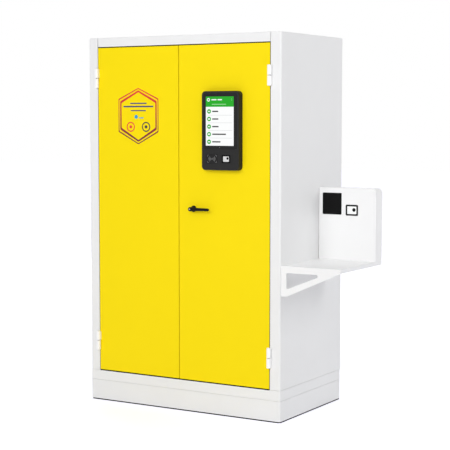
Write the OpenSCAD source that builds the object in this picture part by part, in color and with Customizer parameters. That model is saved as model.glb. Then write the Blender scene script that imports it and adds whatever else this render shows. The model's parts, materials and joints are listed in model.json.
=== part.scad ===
// Two-door flammable safety cabinet with a touch terminal on the door and a weighing shelf at its side.
// Millimetres. +X right, +Y to the rear, +Z up. The origin is on the floor under the middle of the cabinet.

/* [Cabinet] */
// Width over the side panels
cab_w = 1200; // [1100:10:1400]
// Depth from the front posts to the back panel
cab_d = 700; // [620:10:800]
// Height from the floor to the roof
cab_h = 2000; // [1850:10:2150]
// Thickness of the body sheet
sheet = 1.5; // [1:0.25:2]
// Outside radius of the vertical bends
corner_r = 10; // [6:1:14]
// Width of each front post
post_w = 59; // [50:1:70]
// Height of the front beam above the doors
beam_h = 50; // [40:1:70]
// Reach of the door stop into the opening
stop_w = 30; // [26:1:40]
// Air space behind the back liner
air_gap = 38; // [30:1:50]

/* [Base] */
// Height of the dark foot ring
foot_h = 6; // [4:1:10]
// How far the foot ring stands in from the plinth
foot_in = 4; // [3:1:20]
// Width of the foot ring
foot_w = 30; // [20:1:40]
// Height of the plinth
plinth_h = 107; // [80:1:140]
// Height of the base frame above the plinth
base_h = 55; // [40:1:70]
// Thickness of the plinth and base sheet
base_sheet = 2; // [1.5:0.25:3]
// Width of the folded flanges of plinth and base
base_flange = 50; // [46:1:70]

/* [Doors] */
// Gap between a door and its frame at the side
door_gap = 3.5; // [3:0.25:5]
// Gap above and below the doors
edge_gap = 4.5; // [4:0.25:5]
// Thickness of the fire strips above and below the doors
strip_t = 1; // [0.5:0.25:1.5]
// Gap between the two doors
seam_gap = 4; // [3.5:0.25:5]
// Distance of the door seam to the left of the middle
seam_off = 14; // [0:1:40]
// Thickness of a door
door_d = 44; // [40:1:50]
// Depth of the outer door pan
skin_d = 22; // [20:1:24]
// Step from the door edge to the inner door pan
pan_in = 15; // [12:1:18]
// Thickness of the door sheet
door_sheet = 1.5; // [1:0.25:2]
// Thickness of the door seal
seal_t = 4; // [3:0.5:6]
// Width of the door seal
seal_w = 9; // [7:0.5:10]

/* [Hinges] */
// Radius of a hinge barrel
barrel_r = 11.5; // [9:0.5:13]
// Length of a hinge
barrel_l = 107; // [80:1:140]
// Distance of a hinge centre from the end of the door
hinge_end = 164; // [120:1:250]
// Radius of a hinge pin
pin_r = 5; // [4:0.5:6]
// Width of a hinge leaf
leaf_w = 8; // [6:0.5:10]

/* [Handle] */
// Distance of the handle axis to the right of the middle
handle_x = 79; // [70:1:110]
// Distance of the handle axis below the middle of the terminal
handle_drop = 412; // [340:1:480]
// Length of the lever from its axis
lever_l = 115; // [90:1:140]
// Width of the lever at the hub
lever_w = 18; // [14:0.5:20]
// Depth of the lever
lever_d = 10; // [8:0.5:12]
// Radius of the lever hub
hub_r = 11.5; // [10.5:0.5:14]
// Distance of the hub face from the door
hub_out = 42; // [38:1:48]
// Radius of the rosette
rosette_r = 17; // [14:0.5:22]
// Height of the rosette
rosette_h = 9; // [6:0.5:12]
// Radius of the lock cylinder
lock_r = 8; // [6.5:0.5:9]
// Depth of the lock cylinder in the hub
lock_l = 14; // [10:1:18]
// Radius of the spindle
spindle_r = 5; // [4:0.5:6]

/* [Lock gear] */
// Tooth module of pinion and racks
gear_m = 2; // [1.75:0.05:2.25]
// Number of pinion teeth
gear_teeth = 12; // [10:2:14]
// Width of the toothed faces
gear_w = 8; // [6:0.5:9]
// Play between the teeth
gear_play = 0.4; // [0.2:0.05:0.6]
// Side of the square lock rods
rod_a = 8; // [6:0.5:10]
// Length of the round rod ends
rod_end_l = 40; // [30:1:60]

/* [Inside] */
// Number of tray shelves
shelf_n = 3; // [3:1:3]
// Height of a tray shelf's rim
tray_h = 40; // [30:1:60]
// Height of the sump tray
sump_h = 60; // [50:1:90]
// Finger gap between the two halves of the sump grate
grate_gap = 36; // [24:1:60]
// Thickness of the tray sheet
tray_sheet = 1.5; // [1:0.25:2]
// Depth of the slotted uprights
upright_t = 12; // [10:1:16]
// Width of the slotted uprights
upright_w = 30; // [26:1:40]
// Number of slots between two tray shelves
slots_per_rise = 7; // [5:1:8]

/* [Terminal] */
// Width of the touch terminal
term_w = 224; // [200:1:240]
// Height of the touch terminal
term_h = 408; // [380:1:420]
// Depth of the touch terminal
term_d = 38; // [32:1:44]
// Corner radius of the terminal
term_r = 20; // [14:1:24]
// Distance of the terminal's middle to the right of the cabinet's middle
term_x = 264.5; // [240:0.5:290]
// Distance of the terminal's middle below the roof
term_drop = 500; // [450:5:550]
// Wall of the terminal case
term_wall = 3; // [2:0.5:4]
// Width of the screen
screen_w = 170; // [150:1:176]
// Height of the screen
screen_h = 256; // [230:1:260]

/* [Side shelf] */
// Reach of the side shelf from the cabinet
wing_w = 334; // [300:1:400]
// Depth of the side shelf
wing_d = 495; // [440:1:540]
// Distance of the shelf's front edge behind the cabinet front
wing_in = 10; // [10:1:60]
// Height of the shelf top
wing_z = 814; // [700:1:900]
// Height of the shelf's edge flanges
wing_edge = 22; // [18:1:28]
// Thickness of the shelf sheet
wing_sheet = 2; // [1.5:0.25:3]
// Depth of the seat that the device housing stands in
wing_seat = 0.5; // [0.25:0.25:1]
// Height of the front bracket at the wall
bracket_h = 156; // [130:1:190]
// Share of that height that the rear bracket has
rear_share = 0.6; // [0.55:0.05:1]
// Thickness of a bracket
bracket_t = 3; // [2:0.5:4]
// Width of the bracket's wall flange
bracket_flange = 32; // [28:1:40]

/* [Device housing] */
// Depth of the housing on the shelf
house_d = 78; // [70:1:100]
// Height of the housing above the shelf
house_h = 383; // [340:1:420]
// Radius of the housing's upper outer corner
house_r = 25; // [15:1:40]
// Width of the reader window
reader_w = 111; // [90:1:120]
// Height of the reader window
reader_h = 115; // [90:1:120]
// Width of the scanner frame
scan_w = 71; // [60:1:80]
// Height of the scanner frame
scan_h = 57.5; // [50:0.5:65]

/* [Services] */
// Outside radius of the exhaust spigot
spigot_r = 37.5; // [30:0.5:50]
// Length of the exhaust spigot
spigot_l = 35; // [25:1:50]
// Height of the exhaust spigot below the roof
spigot_drop = 150; // [130:1:180]
// Radius of the earth stud
earth_r = 4; // [3:0.5:5]
// Radius of the wall anchor holes
anchor_r = 4.5; // [4:0.5:6]
// Distance of the wall anchor holes from the cabinet's sides
anchor_in = 100; // [60:5:200]

/* [Hidden] */
$fn = 48;

// Overrun of every cut
over = 1;
// Clearance between parts that run in each other
run_clear = 0.05;
// Clearance between loose neighbours
loose = 0.3;
// Segments of a rounded corner in an outline
corner_steps = 6;

// Planes of the cabinet
front_y = -cab_d / 2;
rear_y = cab_d / 2;
side_x = cab_w / 2;
plinth_top = foot_h + plinth_h;
base_top = plinth_top + base_h;
panel_top = cab_h - sheet;
beam_z = cab_h - beam_h;
post_x = side_x - post_w;
open_x = post_x - stop_w;
open_z0 = base_top + stop_w;
open_z1 = beam_z - stop_w;
stop_y = front_y + door_d + loose + seal_t;
liner_y0 = stop_y + sheet;
liner_y1 = rear_y - sheet - air_gap - sheet;
liner_x = open_x + sheet;

// Doors
door_z0 = base_top + edge_gap;
door_z1 = beam_z - edge_gap;
door_x = post_x - door_gap;
seam_l = -seam_off - seam_gap / 2;
seam_r = -seam_off + seam_gap / 2;
skin_y = front_y + skin_d;
seal_off = (stop_w - door_gap - pan_in - seal_w) / 2;
seam_seal_t = seam_gap * 0.3;

// Hinges
hinge_x = post_x - door_gap / 3;
hinge_y = front_y - barrel_r - loose * 2;
hinge_zs = [door_z0 + hinge_end, door_z1 - hinge_end];
leaf_in = door_gap / 2;

// Handle and lock gear
pitch_r = gear_m * gear_teeth / 2;
tooth_pitch = PI * gear_m;
addendum = 0.8 * gear_m;
dedendum = gear_m;
pressure_angle = 25;
base_r = pitch_r * cos(pressure_angle);
tip_r = pitch_r + addendum;
rod_travel = pitch_r * PI / 2;
rod_off = pitch_r + dedendum + rod_a / 2;
rod_y = front_y + door_sheet + rod_a / 2 + gear_m * 3;
rack_spare = tooth_pitch * 2;
guide_wall = rod_a / 2;
guide_l = rod_a * 3;
plate_t = door_sheet * 2;
plate_y = rod_y + rod_a / 2 + gear_m;
strike_r = rod_a / 2 + loose * 5;
post_r = spindle_r * 0.8;

// Inside
shelf_rise = (open_z1 - open_z0) / (shelf_n + 1);
shelf_half_w = open_x - upright_t - loose * 10;
tray_y0 = liner_y0 + loose * 30;
tray_y1 = liner_y1 - loose * 10;
slot_pitch = shelf_rise / slots_per_rise;
slot_w = upright_w / 3;
slot_h = slot_pitch / 4;
upright_ys = [tray_y0 + upright_w * 2, tray_y1 - upright_w * 3];
upright_sheet = sheet;
shelf_zs = [for (i = [1:shelf_n]) open_z0 + i * shelf_rise];

// Terminal
term_z = cab_h - term_drop;
handle_z = term_z - handle_drop;
term_y = front_y - term_d;
glass_t = term_wall * 2 / 3;
glass_w = term_w * 0.89;
glass_h = screen_h * 1.11;
glass_top = term_h * 0.467;
port_z = -term_h * 0.357;
reader_px = -term_w * 0.221;
scan_px = term_w * 0.171;
port_w = term_w * 0.326;
port_h = term_h * 0.123;

// Side shelf and housing
wing_x = side_x + wing_w;
wing_y0 = front_y + wing_in;
wing_y1 = wing_y0 + wing_d;
wing_under = wing_z - wing_sheet;
house_y = wing_y1 - house_d;
house_top = wing_z + house_h;
house_foot = wing_z - wing_seat;
reader_x = side_x + wing_w * 0.237;
reader_z = wing_z + house_h * 0.779;
scan_x = side_x + wing_w * 0.585;
scan_z = wing_z + house_h * 0.696;

// Bracket bolts, and the corners of a bracket's opening as shares of its length and height
bolt_r = bracket_flange / 8;
bolt_in = bracket_flange * 0.6;
rear_bracket_h = bracket_h * rear_share;
bolt_shares = [0.85, 0.25];
bolt_spots = [for (share = bolt_shares) each [[wing_y0 + bolt_in, wing_z - bracket_h * share],
                                              [wing_y1 - bolt_in, wing_z - rear_bracket_h * share]]];
bracket_hole_shares = [[0.088, 0.756], [0.72, 0.208], [0.088, 0.208]];

// Points of an outline with each corner rounded to the radius r
function unit(v) = v / norm(v);
function corner_arc(a, b, c, r) =
    let (u = unit(a - b), v = unit(c - b), half = acos(u * v) / 2,
         mid = b + unit(u + v) * r / sin(half), n0 = b + u * r / tan(half) - mid,
         turn = (u[0] * v[1] - u[1] * v[0] > 0 ? -1 : 1) * (180 - 2 * half))
    [for (i = [0:corner_steps]) let (t = turn * i / corner_steps)
        mid + [n0[0] * cos(t) - n0[1] * sin(t), n0[0] * sin(t) + n0[1] * cos(t)]];
function rounded(p, r) =
    [for (i = [0:len(p) - 1]) each corner_arc(p[(i + len(p) - 1) % len(p)], p[i], p[(i + 1) % len(p)], r)];
function rectangle(w, h) = [[-w / 2, -h / 2], [w / 2, -h / 2], [w / 2, h / 2], [-w / 2, h / 2]];

// A flat outline of X and Z, made thick towards the front from the plane y
module upright_plate(y, depth) {
    translate([0, y, 0]) rotate([90, 0, 0]) linear_extrude(depth) children();
}

// A box from its two corners
module block(a, b) {
    translate(a) cube(b - a);
}

// A post with its axis along Y, from the plane y towards the front
module y_post(x, y, z, r, length) {
    translate([x, y, z]) rotate([90, 0, 0]) cylinder(h = length, r = r);
}

// The footprint of the cabinet, drawn in by a distance
module footprint(inset) {
    r = max(corner_r - inset, base_sheet);
    polygon(rounded(rectangle(cab_w - 2 * inset, cab_d - 2 * inset), r));
}

// Both sides of what is drawn for the right
module both_sides() {
    children();
    mirror([1, 0, 0]) children();
}

module base_ring() {
    color("#2b2c2e") linear_extrude(foot_h) difference() {
        footprint(foot_in);
        footprint(foot_in + foot_w);
    }
}

module plinth() {
    color("#ececec") translate([0, 0, foot_h]) difference() {
        linear_extrude(plinth_h) footprint(0);
        translate([0, 0, base_sheet]) linear_extrude(plinth_h - 2 * base_sheet) footprint(base_sheet);
        translate([0, 0, -over]) linear_extrude(plinth_h + 2 * over) footprint(base_flange);
    }
}

// Base frame with the steel floor on top and a hole for the lower lock rod
module base_frame() {
    color("#ececec") translate([0, 0, plinth_top]) difference() {
        linear_extrude(base_h) footprint(0);
        translate([0, 0, base_sheet]) linear_extrude(base_h - 2 * base_sheet) footprint(base_sheet);
        translate([0, 0, -over]) linear_extrude(base_sheet + 2 * over) footprint(base_flange);
        translate([handle_x + rod_off, rod_y, base_h - base_sheet - over])
            cylinder(h = base_sheet + 2 * over, r = strike_r);
    }
}

// One folded sheet seen from above: side, rounded front corner, post, return and door stop
module side_section() {
    corner = [side_x - corner_r, front_y + corner_r];
    translate([side_x - sheet, corner[1]]) square([sheet, rear_y - corner[1]]);
    translate([post_x, front_y]) square([corner[0] - post_x, sheet]);
    intersection() {
        difference() {
            translate(corner) circle(corner_r);
            translate(corner) circle(corner_r - sheet);
        }
        translate([corner[0], front_y]) square([corner_r, corner_r]);
    }
    translate([post_x, front_y]) square([sheet, liner_y0 - front_y]);
    translate([open_x, stop_y]) square([post_x - open_x, sheet]);
}

// The right panel has holes for the bolts of the shelf brackets
module right_side_panel() {
    color("#e9e9e9") difference() {
        translate([0, 0, base_top]) linear_extrude(panel_top - base_top) side_section();
        for (spot = bolt_spots) translate([side_x - sheet - over, spot[0], spot[1]]) rotate([0, 90, 0])
            cylinder(h = sheet + 2 * over, r = bolt_r + loose);
    }
}

module left_side_panel() {
    color("#e9e9e9") mirror([1, 0, 0]) translate([0, 0, base_top])
        linear_extrude(panel_top - base_top) side_section();
}

// Back panel with two holes for wall anchors and the way through to the exhaust spigot
module back_panel() {
    wide = side_x - sheet;
    color("#e4e4e4") difference() {
        block([-wide, rear_y - sheet, base_top], [wide, rear_y, panel_top]);
        y_post(0, rear_y + over, cab_h - spigot_drop, spigot_r - sheet, sheet + 2 * over);
        for (x = [-side_x + anchor_in, side_x - anchor_in])
            y_post(x, rear_y + over, cab_h - beam_h, anchor_r, sheet + 2 * over);
    }
}

module roof_panel() {
    color("#ececec") translate([0, 0, panel_top]) linear_extrude(sheet) footprint(0);
}

// Beam over the doors, folded to carry the upper door stop
module top_beam() {
    color("#ececec") difference() {
        union() {
            block([-post_x + loose, front_y, beam_z], [post_x - loose, front_y + sheet, panel_top]);
            block([-post_x + loose, front_y, beam_z], [post_x - loose, stop_y, beam_z + sheet]);
            block([-open_x, stop_y, open_z1], [open_x, liner_y0, beam_z + sheet]);
        }
        translate([handle_x - rod_off, rod_y, beam_z - over]) cylinder(h = sheet + 2 * over, r = strike_r);
    }
}

// Lower door stop with a foot on the steel floor
module door_sill() {
    color("#dcdcdc") {
        block([-open_x, stop_y, base_top], [open_x, liner_y0, open_z0]);
        block([-open_x, stop_y, base_top], [open_x, stop_y + stop_w, base_top + sheet]);
    }
}

module floor_liner() {
    color("#d8dadb") block([-liner_x, liner_y0, open_z0 - sheet], [liner_x, liner_y1 + sheet, open_z0]);
}

module left_liner() {
    color("#e2e3e4") mirror([1, 0, 0])
        block([open_x, liner_y0, open_z0], [liner_x, liner_y1 + sheet, open_z1]);
}

module right_liner() {
    color("#e2e3e4") block([open_x, liner_y0, open_z0], [liner_x, liner_y1 + sheet, open_z1]);
}

// Back liner with the air way to the exhaust spigot
module back_liner() {
    color("#e2e3e4") difference() {
        block([-open_x, liner_y1, open_z0], [open_x, liner_y1 + sheet, open_z1]);
        y_post(0, liner_y1 + sheet + over, cab_h - spigot_drop, spigot_r - sheet, sheet + 2 * over);
    }
}

module ceiling_liner() {
    color("#e2e3e4") block([-liner_x, liner_y0, open_z1], [liner_x, liner_y1 + sheet, open_z1 + sheet]);
}

// Square tube of body sheet between two corners, open at its ends along the given direction
module spacer(a, b, along) {
    difference() {
        block(a, b);
        block(a + [for (d = along) d ? -over : sheet], b - [for (d = along) d ? -over : sheet]);
    }
}

// Tubes that hold the liners off the outer sheet at the sides, back, floor and roof
module wall_spacers() {
    y0 = liner_y0 + stop_w;
    y1 = liner_y1 - stop_w;
    in_x = open_x - stop_w;
    along_x = [true, false, false];
    along_y = [false, true, false];
    color("#b9bcbf") {
        for (z = shelf_zs) difference() {
            union() {
                both_sides() spacer([liner_x, y0, z], [side_x - sheet, y1, z + stop_w], along_y);
                spacer([-open_x / 2, liner_y1 + sheet, z], [open_x / 2, rear_y - sheet, z + stop_w], along_x);
            }
            for (spot = bolt_spots) translate([side_x, spot[0], spot[1]]) rotate([0, -90, 0])
                cylinder(h = sheet + bolt_r * 2 + loose, r = bolt_r * 1.8 + loose);
        }
        both_sides() {
            spacer([in_x - stop_w, y0 + stop_w, base_top], [in_x, y1, open_z0 - sheet], along_y);
            spacer([in_x - stop_w, y0 + stop_w, open_z1 + sheet], [in_x, y1, panel_top], along_y);
        }
    }
}

// Dark strips over and under the doors that swell in heat, with holes for the lock rods
module fire_strips() {
    y0 = front_y + strip_t * 2;
    y1 = front_y + door_d - strip_t * 2;
    color("#2b2b2d") difference() {
        union() {
            block([-post_x + loose, y0, beam_z - strip_t], [post_x - loose, y1, beam_z]);
            block([-post_x + loose, y0, base_top], [post_x - loose, y1, base_top + strip_t]);
        }
        translate([handle_x - rod_off, rod_y, beam_z - strip_t - over])
            cylinder(h = strip_t + 2 * over, r = strike_r);
        translate([handle_x + rod_off, rod_y, base_top - over])
            cylinder(h = strip_t + 2 * over, r = strike_r);
    }
}

// Square seal on the door stop, all round the opening
module door_seal() {
    low = seal_off;
    high = seal_off + seal_w;
    color("#3a3b3d") difference() {
        block([-open_x - high, stop_y - seal_t, open_z0 - high], [open_x + high, stop_y, open_z1 + high]);
        block([-open_x - low, stop_y - seal_t - over, open_z0 - low],
              [open_x + low, stop_y + over, open_z1 + low]);
    }
}

// One U-shaped upright on the right, its slotted face to the middle
module upright(y) {
    slots = slots_per_rise * (shelf_n + 1);
    difference() {
        block([open_x - upright_t, y, open_z0], [open_x, y + upright_w, open_z1]);
        block([open_x - upright_t + upright_sheet, y + upright_sheet, open_z0 - over],
              [open_x + over, y + upright_w - upright_sheet, open_z1 + over]);
        for (i = [0:slots - 1]) {
            z = open_z0 + (i + 0.5) * slot_pitch;
            block([open_x - upright_t - over, y + slot_w, z],
                  [open_x - upright_t + upright_sheet + over, y + 2 * slot_w, z + slot_h]);
        }
    }
}

module shelf_uprights() {
    color("#c9ccce") both_sides() for (y = upright_ys) upright(y);
}

// Shelf clips: a bearing block under the shelf with a tongue through the slot below it
module shelf_clips() {
    color("#b5b9bc") both_sides() for (y = upright_ys) for (z = shelf_zs) {
        tongue_z = z - slot_pitch / 2;
        block([open_x - 2 * upright_t, y + slot_w / 2, tongue_z - slot_h / 2],
              [open_x - upright_t, y + slot_w * 2.5, z]);
        block([open_x - upright_t - over, y + slot_w + loose, tongue_z + loose],
              [open_x - upright_t + upright_sheet * 3, y + 2 * slot_w - loose, tongue_z + slot_h - loose]);
    }
}

// Open tray with a floor and four walls
module tray(z, height) {
    color("#cfd2d4") difference() {
        block([-shelf_half_w, tray_y0, z], [shelf_half_w, tray_y1, z + height]);
        block([-shelf_half_w + tray_sheet, tray_y0 + tray_sheet, z + tray_sheet],
              [shelf_half_w - tray_sheet, tray_y1 - tray_sheet, z + height + over]);
    }
}

module lower_tray_shelf() {
    tray(shelf_zs[0], tray_h);
}

module middle_tray_shelf() {
    tray(shelf_zs[1], tray_h);
}

module upper_tray_shelf() {
    tray(shelf_zs[2], tray_h);
}

module sump_tray() {
    tray(open_z0, sump_h);
}

// Slotted insert in two halves that lie on the walls of the sump tray, with a gap to lift them by
module sump_grate() {
    sump_top = open_z0 + sump_h;
    columns = 4;
    rows = 5;
    border = upright_t * 2;
    cell_w = (shelf_half_w - grate_gap / 2 - 2 * border) / columns;
    cell_d = (tray_y1 - tray_y0 - 2 * border) / rows;
    color("#c4c8ca") for (side = [0, 1]) mirror([side, 0, 0]) difference() {
        block([grate_gap / 2, tray_y0, sump_top], [shelf_half_w, tray_y1, sump_top + tray_sheet]);
        for (i = [0:columns - 1]) for (j = [0:rows - 1])
            translate([grate_gap / 2 + border + (i + 0.2) * cell_w, tray_y0 + border + (j + 0.4) * cell_d,
                       sump_top - over])
                cube([cell_w * 0.6, cell_d * 0.2, tray_sheet + 2 * over]);
    }
}

// Round spigot with a flange on the back panel and a sleeve to the liner
module exhaust_spigot() {
    z = cab_h - spigot_drop;
    color("#9aa0a4") difference() {
        union() {
            y_post(0, rear_y + spigot_l, z, spigot_r, spigot_l);
            y_post(0, rear_y + sheet * 2, z, spigot_r + stop_w / 2, sheet * 2);
            y_post(0, rear_y, z, spigot_r - sheet - loose, rear_y - liner_y1);
        }
        y_post(0, rear_y + spigot_l + over, z, spigot_r - 2 * sheet - loose,
               spigot_l + rear_y - liner_y1 + 2 * over);
    }
}

// Threaded stud with its nut, low on the back panel
module earth_stud() {
    x = -open_x;
    z = base_top + stop_w;
    color("#c9a84a") {
        y_post(x, rear_y + earth_r * 6, z, earth_r, earth_r * 6);
        translate([x, rear_y + earth_r * 2, z]) rotate([90, 0, 0])
            cylinder(h = earth_r * 2, r = earth_r * 2, $fn = 6);
    }
}

// Half of a weld-on hinge, from its middle down, with a blind bore for the pin and a leaf on one side
module hinge_half(leaf_side) {
    length = (barrel_l - loose * 3) / 2;
    cap = barrel_r / 2;
    translate([0, 0, -barrel_l / 2]) difference() {
        union() {
            rotate_extrude() polygon([[0, 0], [barrel_r * 0.6, 0], [barrel_r * 0.9, cap / 4],
                [barrel_r, cap / 2],
                                      [barrel_r, length], [0, length]]);
            block([leaf_side > 0 ? leaf_in : -leaf_in - leaf_w, 0, cap],
                  [leaf_side > 0 ? leaf_in + leaf_w : -leaf_in, front_y - hinge_y, length]);
        }
        translate([0, 0, cap]) cylinder(h = length, r = pin_r + run_clear);
    }
}

module frame_hinge_halves() {
    color("#f4f4f4") both_sides() for (z = hinge_zs) translate([hinge_x, hinge_y, z]) hinge_half(1);
}

module hinge_pins() {
    length = barrel_l - barrel_r - loose;
    color("#a9adb0") both_sides() for (z = hinge_zs)
        translate([hinge_x, hinge_y, z - length / 2 - loose / 2]) cylinder(h = length, r = pin_r);
}

// The upper hinge halves of the right door
module door_hinge_halves() {
    color("#f4f4f4") for (z = hinge_zs) translate([hinge_x, hinge_y, z]) mirror([0, 0, 1]) hinge_half(-1);
}

module right_hinge_halves() {
    door_hinge_halves();
}

module left_hinge_halves() {
    mirror([1, 0, 0]) door_hinge_halves();
}

// Outer door pan: face, folded edges and an inward lip that carries the inner pan
module door_skin(x0, x1) {
    lip = pan_in + stop_w / 3;
    color("#fcdf1c") difference() {
        block([x0, front_y, door_z0], [x1, skin_y, door_z1]);
        block([x0 + door_sheet, front_y + door_sheet, door_z0 + door_sheet],
              [x1 - door_sheet, skin_y - door_sheet, door_z1 - door_sheet]);
        block([x0 + lip, skin_y - door_sheet - over, door_z0 + lip],
              [x1 - lip, skin_y + over, door_z1 - lip]);
    }
}

// Inner door pan, open to the front, standing on the lip of the outer pan
module door_pan(x0, x1) {
    color("#f3d51a") difference() {
        block([x0 + pan_in, skin_y, door_z0 + pan_in], [x1 - pan_in, front_y + door_d, door_z1 - pan_in]);
        block([x0 + pan_in + door_sheet, skin_y - over, door_z0 + pan_in + door_sheet],
              [x1 - pan_in - door_sheet, front_y + door_d - door_sheet, door_z1 - pan_in - door_sheet]);
    }
}

module left_door_skin() {
    door_skin(-door_x, seam_l);
}

module left_door_pan() {
    door_pan(-door_x, seam_l);
}

// The right door has holes for the spindle and for the two lock rods
module right_door_skin() {
    difference() {
        door_skin(seam_r, door_x);
        y_post(handle_x, front_y + door_sheet + over, handle_z, spindle_r + loose, door_sheet + 2 * over);
        translate([handle_x - rod_off, rod_y, door_z1 - door_sheet - over])
            cylinder(h = door_sheet + 2 * over, r = rod_a / 2 + loose);
        translate([handle_x + rod_off, rod_y, door_z0 - over])
            cylinder(h = door_sheet + 2 * over, r = rod_a / 2 + loose);
    }
}

module right_door_pan() {
    door_pan(seam_r, door_x);
}

// Strip on the free edge of the right door
module seam_seal() {
    color("#3a3b3d")
        block([seam_r - seam_seal_t, front_y + seal_t, door_z0], [seam_r, skin_y - door_sheet, door_z1]);
}

// Domed rosette round the spindle
module handle_rosette() {
    color("#1c1c20") translate([handle_x, front_y, handle_z]) rotate([90, 0, 0]) rotate_extrude() polygon([
        [spindle_r + run_clear, 0], [rosette_r, 0], [rosette_r, rosette_h * 0.3],
        [rosette_r * 0.93, rosette_h * 0.6], [rosette_r * 0.8, rosette_h * 0.85],
        [rosette_r * 0.6, rosette_h], [spindle_r + run_clear, rosette_h]]);
}

// Lever with its hub, bored for the spindle and the lock cylinder
module handle_lever() {
    hub_y = front_y - rosette_h - loose;
    hub_l = hub_out - rosette_h - loose;
    end_w = lever_w * 0.82;
    color("#1c1c20") difference() {
        union() {
            y_post(handle_x, hub_y, handle_z, hub_r, hub_l);
            upright_plate(front_y - hub_out + lever_d * 1.2, lever_d) translate([handle_x, handle_z])
                polygon(rounded([[0, -lever_w / 2], [lever_l, -end_w / 2],
                                 [lever_l, end_w / 2], [0, lever_w / 2]],
                                end_w * 0.45));
        }
        y_post(handle_x, front_y - hub_out + lock_l, handle_z, lock_r + run_clear, lock_l + over);
        y_post(handle_x, hub_y + over, handle_z, spindle_r + run_clear, hub_l - lock_l);
    }
}

module handle_spindle() {
    front = front_y - hub_out + lock_l + spindle_r / 2;
    color("#8f9498") y_post(handle_x, plate_y + plate_t, handle_z, spindle_r, plate_y + plate_t - front);
}

// Lock cylinder in the end of the hub, with a key slot
module lock_cylinder() {
    lip = lock_l / 10;
    color("#c8ccd0") difference() {
        y_post(handle_x, front_y - hub_out + lock_l - loose, handle_z, lock_r, lock_l - loose + lip);
        block([handle_x - lock_r / 10, front_y - hub_out - lip - over, handle_z - lock_r * 0.6],
              [handle_x + lock_r / 10, front_y - hub_out + lock_l / 2, handle_z + lock_r * 0.6]);
    }
}

// Involute tooth flanks of the pinion
function involute(a) = tan(a) * 180 / PI - a;
function half_tooth(r) = (tooth_pitch / 4 - gear_play / 4) / pitch_r * 180 / PI
    + involute(pressure_angle) - involute(acos(base_r / r));
function polar(r, a) = [r * cos(a), r * sin(a)];
function flank_r(i) = base_r + (tip_r - base_r) * i / 4;
function tooth_points(a) = concat(
    [polar(pitch_r - dedendum, a - half_tooth(base_r))],
    [for (i = [0:4]) polar(flank_r(i), a - half_tooth(flank_r(i)))],
    [for (i = [4:-1:0]) polar(flank_r(i), a + half_tooth(flank_r(i)))],
    [polar(pitch_r - dedendum, a + half_tooth(base_r))]);

module lock_pinion() {
    color("#a9adb0") upright_plate(rod_y + gear_w / 2, gear_w) translate([handle_x, handle_z]) difference() {
        polygon([for (i = [0:gear_teeth - 1]) each tooth_points(i * 360 / gear_teeth)]);
        circle(spindle_r + run_clear);
    }
}

// Rod with a toothed stretch beside the pinion, drawn about the handle axis and reaching up
module lock_rod(reach) {
    root_x = -pitch_r - dedendum;
    tip_x = -pitch_r + addendum;
    root_half = tooth_pitch / 4 - gear_play / 4 + dedendum * tan(pressure_angle);
    tip_half = tooth_pitch / 4 - gear_play / 4 - addendum * tan(pressure_angle);
    low = ceil((rod_travel + rack_spare) / tooth_pitch);
    high = ceil(rack_spare / tooth_pitch) - 1;
    color("#a9adb0") {
        block([-rod_off - rod_a / 2, rod_y - rod_a / 2, -(low + 1) * tooth_pitch],
              [root_x, rod_y + rod_a / 2, reach - rod_end_l]);
        translate([-rod_off, rod_y, reach - rod_end_l - rod_a])
            cylinder(h = rod_end_l + rod_a, r = rod_a / 2 - loose);
        upright_plate(rod_y + gear_w / 2, gear_w) for (k = [-low:high]) {
            z = (k + 0.5) * tooth_pitch;
            polygon([[root_x - dedendum, z - root_half], [root_x, z - root_half], [tip_x, z - tip_half],
                     [tip_x, z + tip_half], [root_x, z + root_half], [root_x - dedendum, z + root_half]]);
        }
    }
}

module upper_lock_rod() {
    translate([handle_x, 0, handle_z]) lock_rod(door_z1 - loose * 5 - handle_z);
}

module lower_lock_rod() {
    translate([handle_x, 0, handle_z]) rotate([0, 180, 0]) lock_rod(handle_z - door_z0 - loose * 5);
}

// Plate behind the pinion on four posts, with the rear bearing of the spindle
module gear_plate() {
    post_dx = rod_off + rod_a / 2 + post_r * 1.5;
    post_dz = pitch_r + post_r * 2;
    edge = post_r * 1.25;
    color("#b9bcbf") {
        difference() {
            block([handle_x - post_dx - edge, plate_y, handle_z - post_dz - edge],
                  [handle_x + post_dx + edge, plate_y + plate_t, handle_z + post_dz + edge]);
            y_post(handle_x, plate_y + plate_t + over, handle_z, spindle_r + run_clear, plate_t + 2 * over);
        }
        for (x = [-post_dx, post_dx]) for (z = [-post_dz, post_dz])
            y_post(handle_x + x, plate_y + over / 4, handle_z + z, post_r,
                   plate_y + over / 4 - front_y - door_sheet);
    }
}

// One guide on the inside of the door face, with a square way for the rod
module rod_guide(x, z) {
    difference() {
        block([x - rod_a / 2 - guide_wall, front_y + door_sheet, z],
              [x + rod_a / 2 + guide_wall, rod_y + rod_a / 2 + guide_wall, z + guide_l]);
        block([x - rod_a / 2 - loose, rod_y - rod_a / 2 - loose, z - over],
              [x + rod_a / 2 + loose, rod_y + rod_a / 2 + loose, z + guide_l + over]);
    }
}

module rod_guides() {
    near = guide_l * 6;
    far = rod_end_l + rod_travel + guide_l * 2;
    color("#b9bcbf") {
        for (z = [handle_z + near, door_z1 - far]) rod_guide(handle_x - rod_off, z);
        for (z = [handle_z - near - guide_l, door_z0 + far]) rod_guide(handle_x + rod_off, z);
    }
}

// Outline of the terminal, drawn in by a distance
module terminal_outline(inset) {
    translate([term_x, term_z])
        polygon(rounded(rectangle(term_w - 2 * inset, term_h - 2 * inset), term_r - inset));
}

// A rectangle on the terminal's front, placed from its middle
module terminal_rect(x, z, w, h) {
    translate([term_x + x, term_z + z]) square([w, h], center = true);
}

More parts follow.
